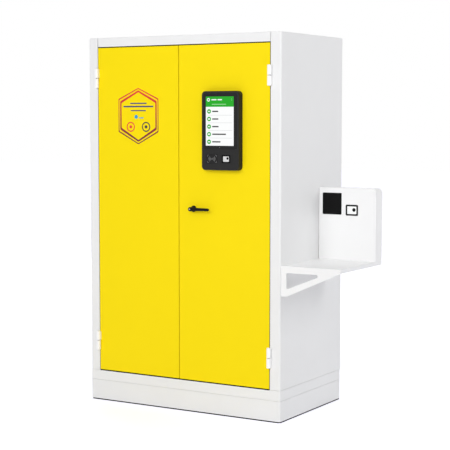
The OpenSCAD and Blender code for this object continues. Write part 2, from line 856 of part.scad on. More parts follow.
module terminal_case() {
    color("#2b2b2a") difference() {
        upright_plate(front_y, term_d) terminal_outline(0);
        upright_plate(front_y + over, term_d + over - term_wall) terminal_outline(term_wall);
        upright_plate(term_y + glass_t, glass_t + over) {
            terminal_rect(0, glass_top - glass_h / 2, glass_w, glass_h);
            terminal_rect(reader_px, port_z, port_w, port_h);
            terminal_rect(scan_px, port_z, port_w, port_h);
        }
        upright_plate(term_y + term_wall + over, term_wall + over) {
            terminal_rect(0, glass_top - glass_h / 2, screen_w, screen_h);
            terminal_rect(scan_px, port_z, port_w / 2, port_h / 2);
        }
    }
}

// Mounting plate on the door face, inside the terminal case
module terminal_back() {
    color("#7d8184") upright_plate(front_y, term_wall) terminal_outline(term_wall + loose);
}

// Circuit board on four posts from the mounting plate
module terminal_board() {
    board_y = front_y - term_wall * 4;
    dx = term_w / 3;
    dz = term_h / 3;
    color("#1f6b3a") {
        upright_plate(board_y, glass_t) terminal_rect(0, 0, dx * 2 + term_wall * 4, dz * 2 + term_wall * 4);
        for (x = [-dx, dx]) for (z = [-dz, dz])
            y_post(term_x + x, front_y - term_wall, term_z + z, term_wall, term_wall * 3 + over / 4);
    }
}

module terminal_display() {
    color("#f4f6f6") upright_plate(term_y + term_wall * 3, term_wall * 2)
        terminal_rect(0, glass_top - glass_h / 2, screen_w + term_wall * 2, screen_h + term_wall * 2);
}

module terminal_glass() {
    color("#15161a") upright_plate(term_y + glass_t, glass_t)
        terminal_rect(0, glass_top - glass_h / 2, glass_w, glass_h);
}

module terminal_reader_window() {
    color("#1b1b1c")
        upright_plate(term_y + glass_t, glass_t) terminal_rect(reader_px, port_z, port_w, port_h);
}

module terminal_scan_window() {
    color("#d8d8d8")
        upright_plate(term_y + glass_t, glass_t / 2) terminal_rect(scan_px, port_z, port_w, port_h);
}

// Top of the side shelf with its outer flange
module wing_shelf() {
    color("#f2f2f2") difference() {
        union() {
            block([side_x, wing_y0, wing_under], [wing_x, wing_y1, wing_z]);
            block([wing_x - wing_sheet, wing_y0, wing_z - wing_edge], [wing_x, wing_y1, wing_z]);
        }
        block([side_x - over, house_y, house_foot], [wing_x + over, wing_y1 + over, wing_z + over]);
    }
}

// Triangular plate with a flange on the cabinet's side, drawn for the front edge of the shelf
module bracket(drop) {
    low = wing_z - drop;
    far = wing_x - wing_sheet;
    color("#f2f2f2") difference() {
        union() {
            upright_plate(wing_y0 + bracket_t, bracket_t) difference() {
                polygon([[side_x, wing_under], [side_x, low], [side_x + bracket_flange, low],
                         [far, wing_z - wing_edge], [far, wing_under]]);
                polygon(rounded([for (s = bracket_hole_shares)
                    [side_x + s[0] * wing_w, wing_under - s[1] * drop]], drop / 20));
            }
            block([side_x, wing_y0, low], [side_x + bracket_t, wing_y0 + bracket_flange, wing_under]);
        }
        for (share = bolt_shares)
            translate([side_x - over, wing_y0 + bolt_in, wing_z - drop * share]) rotate([0, 90, 0])
            cylinder(h = bracket_t + 2 * over, r = bolt_r + loose);
    }
}

module front_bracket() {
    bracket(bracket_h);
}

module rear_bracket() {
    translate([0, wing_y0 + wing_y1, 0]) mirror([0, 1, 0]) bracket(rear_bracket_h);
}

module bracket_bolts() {
    color("#c8ccd0") for (spot = bolt_spots) translate([side_x, spot[0], spot[1]]) rotate([0, 90, 0]) {
        translate([0, 0, -sheet - bolt_r * 2]) cylinder(h = sheet + bolt_r * 3, r = bolt_r);
        translate([0, 0, bracket_t]) cylinder(h = bolt_r, r = bolt_r * 1.8, $fn = 6);
        translate([0, 0, -sheet - bolt_r]) cylinder(h = bolt_r, r = bolt_r * 1.8, $fn = 6);
    }
}

// Outline of the device housing with its upper outer corner rounded, drawn in by a distance
module housing_outline(inset, drop) {
    x0 = side_x + inset;
    x1 = wing_x - inset;
    top = house_top - inset;
    polygon(concat([[x0, house_foot - drop], [x1, house_foot - drop]],
                   corner_arc([x1, wing_z], [x1, top], [x0, top], house_r - inset), [[x0, top]]));
}

// Folded housing, open to the shelf below, with windows in its front
module device_housing() {
    color("#f4f4f4") difference() {
        upright_plate(wing_y1, house_d) housing_outline(0, 0);
        upright_plate(wing_y1 - wing_sheet, house_d - 2 * wing_sheet) housing_outline(wing_sheet, over);
        upright_plate(house_y + wing_sheet + over, wing_sheet + 2 * over) {
            translate([reader_x, reader_z]) square([reader_w, reader_h], center = true);
            translate([scan_x, scan_z]) square([scan_w * 0.9, scan_h * 0.9], center = true);
        }
    }
}

// Reader module filling its window, with its electronics behind
module housing_reader() {
    color("#1c1c1c") {
        upright_plate(house_y + wing_sheet * 2, wing_sheet * 2.5) translate([reader_x, reader_z])
            square([reader_w, reader_h], center = true);
        upright_plate(house_y + wing_sheet * 10, wing_sheet * 8) translate([reader_x, reader_z])
            square([reader_w, reader_h] * 0.8, center = true);
    }
}

// Raised frame round the scanner window, with a collar through the housing front
module housing_scan_frame() {
    color("#202020") difference() {
        union() {
            upright_plate(house_y, wing_sheet) translate([scan_x, scan_z])
                square([scan_w, scan_h], center = true);
            upright_plate(house_y + wing_sheet * 2, wing_sheet * 2) translate([scan_x, scan_z])
                square([scan_w * 0.9, scan_h * 0.9], center = true);
        }
        upright_plate(house_y + wing_sheet * 2 + over, wing_sheet * 3 + 2 * over) translate([scan_x, scan_z])
            square([scan_w * 0.8, scan_h * 0.76], center = true);
    }
}

module housing_scan_window() {
    color("#f4f4f4") upright_plate(house_y + wing_sheet * 2, wing_sheet * 2) translate([scan_x, scan_z])
        square([scan_w * 0.8, scan_h * 0.76], center = true);
}

base_ring();
plinth();
base_frame();
left_side_panel();
right_side_panel();
back_panel();
roof_panel();
top_beam();
door_sill();
floor_liner();
left_liner();
right_liner();
back_liner();
ceiling_liner();
wall_spacers();
fire_strips();
door_seal();
shelf_uprights();
shelf_clips();
lower_tray_shelf();
middle_tray_shelf();
upper_tray_shelf();
sump_tray();
sump_grate();
exhaust_spigot();
earth_stud();
frame_hinge_halves();
hinge_pins();
left_door_skin();
left_door_pan();
left_hinge_halves();
right_door_skin();
right_door_pan();
right_hinge_halves();
seam_seal();
handle_rosette();
handle_lever();
handle_spindle();
lock_pinion();
lock_cylinder();
gear_plate();
rod_guides();
upper_lock_rod();
lower_lock_rod();
terminal_case();
terminal_back();
terminal_board();
terminal_display();
terminal_glass();
terminal_reader_window();
terminal_scan_window();
wing_shelf();
front_bracket();
rear_bracket();
bracket_bolts();
device_housing();
housing_reader();
housing_scan_frame();
housing_scan_window();
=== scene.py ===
"""Looks of a two-door safety cabinet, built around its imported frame.

The frame has +X to the right, +Y to the rear and +Z up. Lamps, camera and floor are in metres. Pieces are
worked out in millimetres and turned into metres where their vertices are made.
"""
import json
import math

import bmesh
import bpy
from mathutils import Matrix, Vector


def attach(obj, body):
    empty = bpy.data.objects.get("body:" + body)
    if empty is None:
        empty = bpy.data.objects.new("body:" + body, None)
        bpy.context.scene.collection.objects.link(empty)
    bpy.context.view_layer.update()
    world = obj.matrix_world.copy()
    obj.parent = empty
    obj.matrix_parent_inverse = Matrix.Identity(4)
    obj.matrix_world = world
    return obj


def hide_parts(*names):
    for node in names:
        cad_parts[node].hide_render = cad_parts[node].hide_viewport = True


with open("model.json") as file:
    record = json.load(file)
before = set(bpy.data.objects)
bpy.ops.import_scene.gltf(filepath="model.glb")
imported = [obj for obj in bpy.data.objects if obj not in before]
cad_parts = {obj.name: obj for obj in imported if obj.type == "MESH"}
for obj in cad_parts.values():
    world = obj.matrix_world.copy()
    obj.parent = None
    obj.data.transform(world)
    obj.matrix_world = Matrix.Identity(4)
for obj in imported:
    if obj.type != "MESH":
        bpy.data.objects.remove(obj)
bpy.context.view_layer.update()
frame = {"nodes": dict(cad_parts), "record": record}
MM = 0.001


# Camera

CAMERA_PLACE = (3.80042, -6.22006, 1.56570)
CAMERA_TARGET = (0.27130, -0.350, 1.01034)
CAMERA_LENS, SENSOR = 105.6, 36.0
SIGHT = 100.0


def aim(obj, place, target):
    """Puts a camera or lamp at its place and turns it to its target."""
    obj.location = place
    obj.rotation_euler = (Vector(target) - Vector(place)).to_track_quat("-Z", "Y").to_euler()


def make_camera():
    data = bpy.data.cameras.new("camera")
    data.lens = CAMERA_LENS
    data.sensor_width = SENSOR
    data.sensor_height = SENSOR
    data.clip_end = SIGHT
    camera = bpy.data.objects.new("camera", data)
    bpy.context.scene.collection.objects.link(camera)
    aim(camera, CAMERA_PLACE, CAMERA_TARGET)
    bpy.context.scene.camera = camera


# Lamps, with their place, their target, the side of their square and their power in watts

LAMPS = {
    "front_soft": ((1.2, -6.8, 3.5), (0.2, 0, 1.0), 4.0, 244.0),
    "side_soft": ((4.8, 0.6, 3.4), (0.5, 0, 1.0), 2.4, 68.0),
    "rear_soft": ((-4.2, 4.6, 3.8), (-0.3, 0.2, 1.0), 4.5, 165.0),
}


def make_lamp(name, place, target, side, power):
    data = bpy.data.lights.new(name, "AREA")
    data.shape = "SQUARE"
    data.size = side
    data.energy = power
    lamp = bpy.data.objects.new(name, data)
    bpy.context.scene.collection.objects.link(lamp)
    aim(lamp, place, target)


# Sky and floor, which show as white while they light the object softly

SKY = 0.38
WHITE = (1, 1, 1, 1)
FLOOR_HALF = 30.0
FLOOR_COLOUR = (0.95, 0.95, 0.975, 1)
FLOOR_GLOW = (1.0, 1.0, 1.15, 1)
GLOW_NEAR, GLOW_FAR = 0.33, 0.66
NEAR, FAR = 1.0, 4.0


def larger(nodes, links, first, second):
    node = nodes.new("ShaderNodeMath")
    node.operation = "MAXIMUM"
    links.new(first, node.inputs[0])
    links.new(second, node.inputs[1])
    return node.outputs[0]


def seen_or_lighting(nodes, links, lighting, seen, out):
    """Gives camera, glossy and transmission rays one shader and all other rays another."""
    path = nodes.new("ShaderNodeLightPath").outputs
    direct = larger(nodes, links, path["Is Camera Ray"], path["Is Glossy Ray"])
    mix = nodes.new("ShaderNodeMixShader")
    links.new(larger(nodes, links, direct, path["Is Transmission Ray"]), mix.inputs[0])
    links.new(lighting, mix.inputs[1])
    links.new(seen, mix.inputs[2])
    links.new(mix.outputs[0], nodes.new(out).inputs[0])


def make_world():
    world = bpy.data.worlds.new("studio")
    bpy.context.scene.world = world
    world.use_nodes = True
    nodes, links = world.node_tree.nodes, world.node_tree.links
    nodes.clear()
    skies = []
    for strength in (SKY, 1.0):
        sky = nodes.new("ShaderNodeBackground")
        sky.inputs["Color"].default_value = WHITE
        sky.inputs["Strength"].default_value = strength
        skies.append(sky.outputs[0])
    seen_or_lighting(nodes, links, *skies, "ShaderNodeOutputWorld")


def floor_glow(nodes, links):
    """A faint light of the floor that grows with the distance, so that shadows show only near the object."""
    place = nodes.new("ShaderNodeTexCoord")
    distance = nodes.new("ShaderNodeVectorMath")
    distance.operation = "LENGTH"
    rise = nodes.new("ShaderNodeMapRange")
    for socket, value in (("From Min", NEAR), ("From Max", FAR), ("To Min", GLOW_NEAR), ("To Max", GLOW_FAR)):
        rise.inputs[socket].default_value = value
    glow = nodes.new("ShaderNodeEmission")
    glow.inputs["Color"].default_value = FLOOR_GLOW
    links.new(place.outputs["Object"], distance.inputs[0])
    links.new(distance.outputs["Value"], rise.inputs["Value"])
    links.new(rise.outputs["Result"], glow.inputs["Strength"])
    return glow.outputs[0]


def make_floor():
    mesh = bpy.data.meshes.new("floor")
    corners = [(sx * FLOOR_HALF, sy * FLOOR_HALF, 0) for sx, sy in ((-1, -1), (1, -1), (1, 1), (-1, 1))]
    mesh.from_pydata(corners, [], [(0, 1, 2, 3)])
    floor = bpy.data.objects.new("floor", mesh)
    bpy.context.scene.collection.objects.link(floor)
    material = bpy.data.materials.new("floor")
    material.use_nodes = True
    nodes, links = material.node_tree.nodes, material.node_tree.links
    nodes.clear()
    matt = nodes.new("ShaderNodeBsdfDiffuse")
    matt.inputs["Color"].default_value = FLOOR_COLOUR
    lifted = nodes.new("ShaderNodeAddShader")
    links.new(matt.outputs[0], lifted.inputs[0])
    links.new(floor_glow(nodes, links), lifted.inputs[1])
    seen_or_lighting(nodes, links, matt.outputs[0], lifted.outputs[0], "ShaderNodeOutputMaterial")
    mesh.materials.append(material)


# Materials

TINT_START, TINT_STOP = 0.3, 0.7
LIT_BODY, PIXEL_DIP = 0.1, 0.97


class Finish:
    """A new material and the texture steps that the finishes share."""

    def __init__(self, name, rough, metal=0.0, coat=0.0, coat_rough=0.1, specular=0.5):
        self.material = bpy.data.materials.new(name)
        self.material.use_nodes = True
        self.nodes = self.material.node_tree.nodes
        self.links = self.material.node_tree.links
        self.bsdf = self.nodes["Principled BSDF"]
        for socket, value in (("Roughness", rough), ("Metallic", metal), ("Coat Weight", coat),
                              ("Coat Roughness", coat_rough), ("Specular IOR Level", specular)):
            self.bsdf.inputs[socket].default_value = value

    def add(self, kind, **values):
        """A new node with the sockets named in values set."""
        node = self.nodes.new("ShaderNode" + kind)
        for socket, value in values.items():
            node.inputs[socket.replace("_", " ")].default_value = value
        return node

    def place(self):
        """The place of a point on the object, which doesn't depend on the view."""
        return self.nodes.new("ShaderNodeTexCoord").outputs["Object"]

    def noise(self, scale, detail=2.0, stretch=(1, 1, 1)):
        mapping = self.add("Mapping", Scale=stretch)
        texture = self.add("TexNoise", Scale=scale, Detail=detail)
        self.links.new(self.place(), mapping.inputs["Vector"])
        self.links.new(mapping.outputs["Vector"], texture.inputs["Vector"])
        return texture.outputs["Fac"]

    def ramp(self, factor, low, high, into, start=0.0, stop=1.0):
        """Blends from one colour to another with a factor, into a socket of the surface."""
        node = self.add("ValToRGB")
        ends = node.color_ramp.elements
        ends[0].position, ends[1].position = start, stop
        ends[0].color, ends[1].color = (*low, 1), (*high, 1)
        self.links.new(factor, node.inputs["Fac"])
        self.links.new(node.outputs["Color"], self.bsdf.inputs[into])

    def tint(self, factor, colour, spread):
        """Varies the base colour by a small share with a texture."""
        low = [c * (1 - spread) for c in colour]
        high = [min(1, c * (1 + spread)) for c in colour]
        self.ramp(factor, low, high, "Base Color", TINT_START, TINT_STOP)

    def bump(self, factor, strength, distance):
        node = self.add("Bump", Strength=strength, Distance=distance)
        self.links.new(factor, node.inputs["Height"])
        self.links.new(node.outputs["Normal"], self.bsdf.inputs["Normal"])

    def vary_rough(self, factor, low, high):
        span = self.add("MapRange", To_Min=low, To_Max=high)
        self.links.new(factor, span.inputs["Value"])
        self.links.new(span.outputs["Result"], self.bsdf.inputs["Roughness"])


def powder_coat(name, colour, rough, spread=0.012, specular=0.4):
    """Baked powder paint: a fine orange-peel grain and slow, slight colour drift."""
    paint = Finish(name, rough, specular=specular)
    paint.tint(paint.noise(scale=2.5, detail=3.0), colour, spread)
    paint.bump(paint.noise(scale=900.0, detail=1.0), strength=0.03, distance=0.2 * MM)
    paint.vary_rough(paint.noise(scale=14.0), rough - 0.05, rough + 0.05)
    return paint.material


def zinc(name, colour, rough=0.38):
    """Galvanised sheet with its spangle of flat crystals."""
    sheet = Finish(name, rough, metal=0.9)
    crystals = sheet.add("TexVoronoi", Scale=70.0)
    sheet.links.new(sheet.place(), crystals.inputs["Vector"])
    tone = sheet.add("SeparateColor")
    sheet.links.new(crystals.outputs["Color"], tone.inputs["Color"])
    sheet.tint(tone.outputs[0], colour, spread=0.10)
    sheet.vary_rough(tone.outputs[1], rough - 0.08, rough + 0.1)
    sheet.bump(sheet.noise(scale=300.0), strength=0.05, distance=0.1 * MM)
    return sheet.material


def brushed(name, colour, rough=0.28, metal=1.0):
    """Turned or brushed metal with fine lines along one direction."""
    bare = Finish(name, rough, metal=metal)
    lines = bare.noise(scale=60.0, detail=4.0, stretch=(40, 40, 1))
    bare.tint(lines, colour, spread=0.08)
    bare.vary_rough(lines, rough - 0.06, rough + 0.12)
    bare.bump(lines, strength=0.08, distance=0.05 * MM)
    return bare.material


def plastic(name, colour, rough, grain=1600.0, depth=0.12, spread=0.08, specular=0.5):
    """Moulded plastic or rubber with a spark-eroded grain."""
    moulded = Finish(name, rough, specular=specular)
    moulded.tint(moulded.noise(scale=30.0, detail=3.0), colour, spread)
    moulded.bump(moulded.noise(scale=grain), depth, distance=0.1 * MM)
    moulded.vary_rough(moulded.noise(scale=60.0), rough - 0.05, rough + 0.06)
    return moulded.material


def cover_glass(name, colour, rough=0.12):
    """Black-printed cover glass with faint smears."""
    glass = Finish(name, rough, coat=0.05, coat_rough=0.04, specular=0.25)
    glass.tint(glass.noise(scale=18.0, detail=4.0), colour, spread=0.3)
    glass.vary_rough(glass.noise(scale=9.0, detail=5.0), rough - 0.03, rough + 0.08)
    return glass.material


def lit(name, colour, strength):
    """A lit area under cover glass: its own light with a faint pixel grain."""
    pixels = Finish(name, rough=0.25, specular=0.1)
    pixels.bsdf.inputs["Base Color"].default_value = (*(c * LIT_BODY for c in colour), 1)
    pixels.bsdf.inputs["Emission Strength"].default_value = strength
    grain = pixels.noise(scale=2200.0, detail=0.0)
    pixels.ramp(grain, [c * PIXEL_DIP for c in colour], colour, "Emission Color")
    return pixels.material


def print_ink(name, colour):
    """Screen-printed vinyl ink with a slight mottle."""
    ink = Finish(name, rough=0.42)
    ink.tint(ink.noise(scale=120.0), colour, spread=0.06)
    ink.bump(ink.noise(scale=1500.0), strength=0.05, distance=0.05 * MM)
    return ink.material


def fading_ink(name, low, high, bottom_z, top_z):
    """Printed ink that goes from one colour below to another above."""
    ink = Finish(name, rough=0.42)
    split = ink.add("SeparateXYZ")
    height = ink.add("MapRange", From_Min=bottom_z, From_Max=top_z)
    ink.links.new(ink.place(), split.inputs["Vector"])
    ink.links.new(split.outputs["Z"], height.inputs["Value"])
    ink.ramp(height.outputs["Result"], low, high, "Base Color")
    ink.bump(ink.noise(scale=1500.0), strength=0.05, distance=0.05 * MM)
    return ink.material


LOOK = {
    "white": powder_coat("white_powder", (0.865, 0.867, 0.87), 0.45),
    "liner": powder_coat("liner_powder", (0.78, 0.79, 0.79), 0.38),
    "yellow": powder_coat("yellow_powder", (0.985, 0.76, 0.002), 0.55, spread=0.006, specular=0.12),
    "hinge": powder_coat("hinge_white", (0.985, 0.985, 0.985), 0.4),
    "wing": powder_coat("shelf_powder", (0.91, 0.91, 0.91), 0.42),
    "foot": plastic("foot_rubber", (0.004, 0.004, 0.004), 0.9, specular=0.0),
    # Black seal rubber; the same black also paints the shade in the door gaps and beside the hinges
    "black_rubber_and_shade": plastic("seal_rubber", (0.004, 0.004, 0.004), 0.9, specular=0.0),
    "grey": plastic("seam_rubber", (0.34, 0.34, 0.31), 0.85, specular=0.1),
    "zinc": zinc("galvanised", (0.62, 0.64, 0.655)),
    "steel": brushed("bright_steel", (0.62, 0.62, 0.63)),
    "pin": brushed("hinge_pin_steel", (0.16, 0.16, 0.17), metal=0.6),
    "brass": brushed("brass", (0.74, 0.53, 0.20)),
    "handle": plastic("handle_plastic", (0.002, 0.002, 0.004), 0.4, grain=1200.0, depth=0.06, specular=0.12),
    "case": plastic("case_plastic", (0.015, 0.015, 0.0145), 0.55, grain=1100.0, specular=0.18),
    "black": plastic("reader_plastic", (0.002, 0.002, 0.002), 0.45, specular=0.1),
    "glass": cover_glass("cover_glass", (0.005, 0.005, 0.0045)),
    "board": plastic("circuit_board", (0.02, 0.14, 0.05), 0.5, spread=0.25),
    "screen": lit("screen_white", (0.93, 0.94, 0.94), 0.96),
    "green": lit("screen_green", (0.022, 0.40, 0.024), 0.95),
    "pale": lit("screen_pale_green", (0.32, 0.68, 0.32), 0.95),
    "mark": lit("screen_grey", (0.06, 0.06, 0.06), 0.9),
    "line": lit("screen_line", (0.70, 0.72, 0.72), 0.95),
    "window": lit("scan_light", (0.66, 0.66, 0.66), 0.95),
    "label": print_ink("pale_ink", (0.19, 0.19, 0.19)),
    "blue": print_ink("blue_ink", (0.035, 0.045, 0.16)),
    "teal": print_ink("teal_ink", (0.02, 0.33, 0.60)),
    "dark": print_ink("dark_ink", (0.02, 0.02, 0.022)),
    "signal": print_ink("signal_ink", (0.78, 0.05, 0.02)),
    "red": fading_ink("badge_red", (0.16, 0.004, 0.018), (0.80, 0.030, 0.015), bottom_z=1.46, top_z=1.728),
}


# Reading the frame

RECORD = frame["record"]
BODY_OF = {node: body for body, nodes in RECORD["behaviour"]["bodies"].items() for node in nodes}
SAME_POINT, NEARLY_FLAT, AT_LEVEL = 0.002, 0.6, 0.05
FLAT_WEIGHT = 80


class Extent:
    """The space of a frame node in millimetres."""

    def __init__(self, node):
        source = frame["nodes"][node]
        points = [source.matrix_world @ vert.co / MM for vert in source.data.vertices]
        self.left, self.front, self.low = (min(p[axis] for p in points) for axis in range(3))
        self.right, self.rear, self.top = (max(p[axis] for p in points) for axis in range(3))
        self.w, self.h = self.right - self.left, self.top - self.low
        self.x, self.z = (self.left + self.right) / 2, (self.low + self.top) / 2
        self.levels = sorted({round(p[2], 2) for p in points})

    def outline(self, radius, inset=0.0):
        """The front of a rectangular node with rounded corners, drawn in on every side."""
        return rounded_rect(self.x, self.z, self.w - 2 * inset, self.h - 2 * inset, radius)


def solid_of(node):
    """A bmesh copy of a frame node with the triangles of each flat face joined."""
    source = frame["nodes"][node]
    bm = bmesh.new()
    bm.from_mesh(source.data)
    bm.transform(source.matrix_world)
    bmesh.ops.remove_doubles(bm, verts=bm.verts, dist=SAME_POINT * MM)
    bmesh.ops.dissolve_limit(bm, angle_limit=math.radians(NEARLY_FLAT), verts=bm.verts, edges=bm.edges)
    return bm


def link(name, bm, look, body, replaced=()):
    """Makes an object of a bmesh, with its material, its body and the nodes it stands for."""
    mesh = bpy.data.meshes.new(name)
    bm.to_mesh(mesh)
    bm.free()
    obj = bpy.data.objects.new(name, mesh)
    bpy.context.scene.collection.objects.link(obj)
    mesh.materials.append(LOOK[look])
    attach(obj, body)
    if replaced:
        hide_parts(*replaced)
    return obj


def bevelled(bm, width, steps=2, corner=30.0):
    """Rounds the edges sharper than a corner angle, in real millimetres."""
    bm.normal_update()
    sharp = [e for e in bm.edges if len(e.link_faces) == 2 and e.calc_face_angle(0) > math.radians(corner)]
    if sharp:
        bmesh.ops.bevel(bm, geom=sharp, offset=width * MM, offset_type="OFFSET", segments=steps, profile=0.5,
                        affect="EDGES", clamp_overlap=True, miter_outer="ARC", material=-1)
    return bm


def smooth(obj, corner=32.0):
    """Shades an object smoothly up to a corner angle, with its flat faces left flat."""
    mesh = obj.data
    mesh.polygons.foreach_set("use_smooth", [True] * len(mesh.polygons))
    mesh.set_sharp_from_angle(angle=math.radians(corner))
    weigh = obj.modifiers.new("weigh", "WEIGHTED_NORMAL")
    weigh.keep_sharp = True
    weigh.weight = FLAT_WEIGHT
    return obj


def draw_back(bm, axis, at, by):
    """Moves the edge of a sheet by a hair, so that a real joint line shows between two panels."""
    for vert in bm.verts:
        if abs(vert.co[axis] - at * MM) < AT_LEVEL * MM:
            vert.co[axis] += by * MM


def dress(node, look, edge, joints=()):
    """Stands a copy of a node with rounded edges and its finish in the node's place."""
    bm = solid_of(node)
    for axis, at, by in joints:
        draw_back(bm, axis, at, by)
    bevelled(bm, edge)
    return smooth(link(node + ".dressed", bm, look, BODY_OF[node], (node,)))


# Outlines in millimetres: lists of (x, z) on an upright plane

BAR_ROUND = 0.45


def arc(x, z, r, start, end, steps=12):
    angles = [math.radians(start + (end - start) * i / steps) for i in range(steps + 1)]
    return [(x + r * math.cos(a), z + r * math.sin(a)) for a in angles]


def circle(x, z, r, steps=40):
    return arc(x, z, r, 0, 360, steps)[:-1]


def rounded_rect(x, z, w, h, r, steps=6):
    points = []
    for sx, sz, start in ((1, 1, 0), (-1, 1, 90), (-1, -1, 180), (1, -1, 270)):
        points += arc(x + sx * (w / 2 - r), z + sz * (h / 2 - r), r, start, start + 90, steps)
    return points


def bar(x0, x1, z, thick):
    """A plain bar with round ends that stands where a line of writing would be."""
    return rounded_rect((x0 + x1) / 2, z, x1 - x0, thick, thick * BAR_ROUND, steps=4)


def stroke(points, width):
    """The outline of a line of even width through points."""
    left, right = [], []
    for i, (x, z) in enumerate(points):
        before = points[max(0, i - 1)]
        after = points[min(len(points) - 1, i + 1)]
        dx, dz = after[0] - before[0], after[1] - before[1]
        reach = width / 2 / math.hypot(dx, dz)
        left.append((x - dz * reach, z + dx * reach))
        right.append((x + dz * reach, z - dx * reach))
    return right + left[::-1]


# Meshes from outlines, in millimetres

def loop_at(bm, outline, depth):
    return [bm.verts.new((x * MM, depth * MM, z * MM)) for x, z in outline]


def band(bm, near, far):
    """Joins two loops of as many vertices."""
    for i in range(len(near)):
        bm.faces.new((near[i - 1], near[i], far[i], far[i - 1]))


def fill_between(bm, loops):
    """Fills the flat area inside the first loop and outside the others."""
    edges = []
    for loop in loops:
        for i, vert in enumerate(loop):
            edges.append(bm.edges.get((vert, loop[i - 1])) or bm.edges.new((vert, loop[i - 1])))
    bmesh.ops.triangle_fill(bm, use_beauty=True, use_dissolve=False, edges=edges)


def close_up(bm):
    bmesh.ops.recalc_face_normals(bm, faces=bm.faces)
    return bm


def plate(bm, outline, front, back):
    near, far = loop_at(bm, outline, front), loop_at(bm, outline, back)
    bm.faces.new(near)
    bm.faces.new(far)
    band(bm, near, far)
    return close_up(bm)


def ring(bm, outer, inner, front, back, slope=0.0):
    """A flat frame between two outlines of as many points. Its inner edge may lie deeper."""
    loops = [loop_at(bm, outer, front), loop_at(bm, inner, front + slope), loop_at(bm, inner, back),
             loop_at(bm, outer, back)]
    for i in range(4):
        band(bm, loops[i - 1], loops[i])
    return close_up(bm)


def lathe(bm, profile, x, z, face=0.0, steps=56):
    """Turns a profile of (radius, height over a face) about a front-to-back axis."""
    rows = []
    for r, height in profile:
        y = face - height
        if r == 0:
            rows.append([bm.verts.new((x * MM, y * MM, z * MM))] * steps)
        else:
            rows.append(loop_at(bm, circle(x, z, r, steps), y))
    for low, high in zip(rows, rows[1:]):
        for i in range(steps):
            corners = list(dict.fromkeys((low[i - 1], low[i], high[i], high[i - 1])))
            if len(corners) > 2:
                bm.faces.new(corners)
    return close_up(bm)


def loft(bm, sections):
    """Joins sections, each a list of as many (x, y, z) points, and closes both ends."""
    rows = [[bm.verts.new((x * MM, y * MM, z * MM)) for x, y, z in section] for section in sections]
    for low, high in zip(rows, rows[1:]):
        band(bm, low, high)
    bm.faces.new(rows[0])
    bm.faces.new(rows[-1])
    return close_up(bm)


def flat_piece(name, outlines, front, back, look, body, replaced=()):
    """One piece of several flat plates."""
    bm = bmesh.new()
    for outline in outlines:
        plate(bm, outline, front, back)
    return link(name, bm, look, body, replaced)


def turned_piece(name, profile, x, z, face, look, body, replaced=(), corner=32.0):
    """One piece turned on a lathe."""
    smooth(link(name, lathe(bmesh.new(), profile, x, z, face), look, body, replaced), corner)


# Parts that keep their shape and get their finish

PAINTED_EDGE, OTHER_EDGE = 0.7, 0.4

DRESSED = {
    "white": "roof_panel door_sill",
    "wing": "wing_shelf front_bracket rear_bracket",
    "liner": "floor_liner left_liner right_liner back_liner ceiling_liner",
    "yellow": "left_door_skin left_door_pan right_door_skin right_door_pan",
    "black_rubber_and_shade": "door_seal fire_strips",
    "grey": "seam_seal",
    "zinc": "wall_spacers shelf_uprights shelf_clips lower_tray_shelf middle_tray_shelf upper_tray_shelf "
            "sump_tray sump_grate exhaust_spigot gear_plate rod_guides",
    "steel": "lock_pinion upper_lock_rod lower_lock_rod bracket_bolts terminal_back",
    "pin": "hinge_pins",
    "brass": "earth_stud",
    "board": "terminal_board",
    "screen": "terminal_display",
}


def plain_parts():
    for look, nodes in DRESSED.items():
        edge = PAINTED_EDGE if look in ("yellow", "white", "wing") else OTHER_EDGE
        for node in nodes.split():
            dress(node, look, edge)


# Body panels with their joint lines

FOOT_EDGE, BASE_EDGE, PANEL_EDGE, HOUSING_EDGE = 0.5, 0.8, 0.6, 0.7
BASE_JOINT, PLINTH_JOINT, BACK_JOINT = 0.5, 0.8, 1.2
LEFT_POST_JOINT, RIGHT_POST_JOINT = 3.0, 1.7
HOUSING_JOINT, HOUSING_WALL = 1.8, 2.0
FOOT_SHADE_LIP = 3.4


def body_panels():
    """Draws the panels' edges back at their joints, and the black foot strip out past its part, so that its
    black also paints the contact shadow under the plinth.
    """
    foot, base = Extent("base_ring"), Extent("base_frame")
    beam, back = Extent("top_beam"), Extent("back_panel")
    # The foot strip is drawn out by a lip whose black paints the contact shadow under the plinth's edge
    dress("base_ring", "foot", FOOT_EDGE, [(1, foot.front, -FOOT_SHADE_LIP), (0, foot.right, FOOT_SHADE_LIP)])
    dress("plinth", "white", BASE_EDGE, [(2, base.low, -PLINTH_JOINT)])
    dress("base_frame", "white", BASE_EDGE, [(2, base.top, -BASE_JOINT)])
    for side in ("left_side_panel", "right_side_panel"):
        dress(side, "white", PANEL_EDGE, [(2, base.top, BASE_JOINT)])
    dress("back_panel", "white", PANEL_EDGE, [(0, back.left, BACK_JOINT), (0, back.right, -BACK_JOINT)])
    dress("top_beam", "white", PANEL_EDGE,
          [(0, beam.left, LEFT_POST_JOINT), (0, beam.right, -RIGHT_POST_JOINT)])
    edge = Extent("device_housing").left
    dress("device_housing", "wing", HOUSING_EDGE,
          [(0, edge + HOUSING_WALL, HOUSING_JOINT), (0, edge, HOUSING_JOINT)])


# Hinges

HINGE_EDGE, HINGE_JOINT, HALVES_APART = 0.8, 1.3, 1.5


def hinges():
    """Draws the barrel ends back where the halves meet, so that the gap between them shows."""
    fixed, moving = Extent("frame_hinge_halves").levels, Extent("left_hinge_halves").levels
    meetings = [(a, b) for a in fixed for b in moving if abs(a - b) < HALVES_APART]
    for node in ("frame_hinge_halves", "left_hinge_halves", "right_hinge_halves"):
        joints = []
        for a, b in meetings:
            at, other = (a, b) if node == "frame_hinge_halves" else (b, a)
            joints.append((2, at, math.copysign(HINGE_JOINT, at - other)))
        dress(node, "hinge", HINGE_EDGE, joints)
